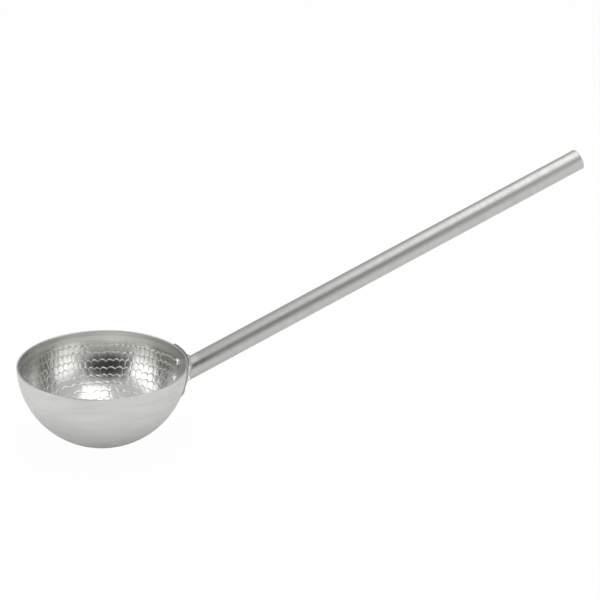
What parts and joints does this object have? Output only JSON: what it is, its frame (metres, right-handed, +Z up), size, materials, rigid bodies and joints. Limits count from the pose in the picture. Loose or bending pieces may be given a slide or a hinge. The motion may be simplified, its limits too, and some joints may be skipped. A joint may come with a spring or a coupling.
{
  "type": "water dipper",
  "caption": "Beaten aluminium water dipper: a half-round bowl riveted to a curved saddle plate that carries a long straight rising pipe handle.",
  "frame": {"origin": "centre of the bowl's small flat base, on its outer face", "axes": "+Z up with the rim level, +X towards the handle, the dipper is symmetric about the XZ plane"},
  "size_m": [0.5273, 0.15, 0.2497],
  "materials": {
    "beaten_sheet": "spun outside with a satin brushed skin, polished and hand-beaten inside",
    "pressed_plate": "satin pressed plate",
    "drawn_pipe": "satin, faint rings from turning abrasive round the pipe",
    "weld_metal": "brushed weld",
    "rivet_metal": "polished domed heads",
    "plug_metal": "satin pressed disc"
  },
  "bodies": {
    "root": {"bowl": "beaten_sheet", "handle_saddle": "pressed_plate", "handle_tube": "drawn_pipe", "weld_bead": "weld_metal", "rivet_upper_left": "rivet_metal", "rivet_upper_right": "rivet_metal", "rivet_lower_left": "rivet_metal", "rivet_lower_right": "rivet_metal", "end_plug": "plug_metal"}
  },
  "joints": []
}
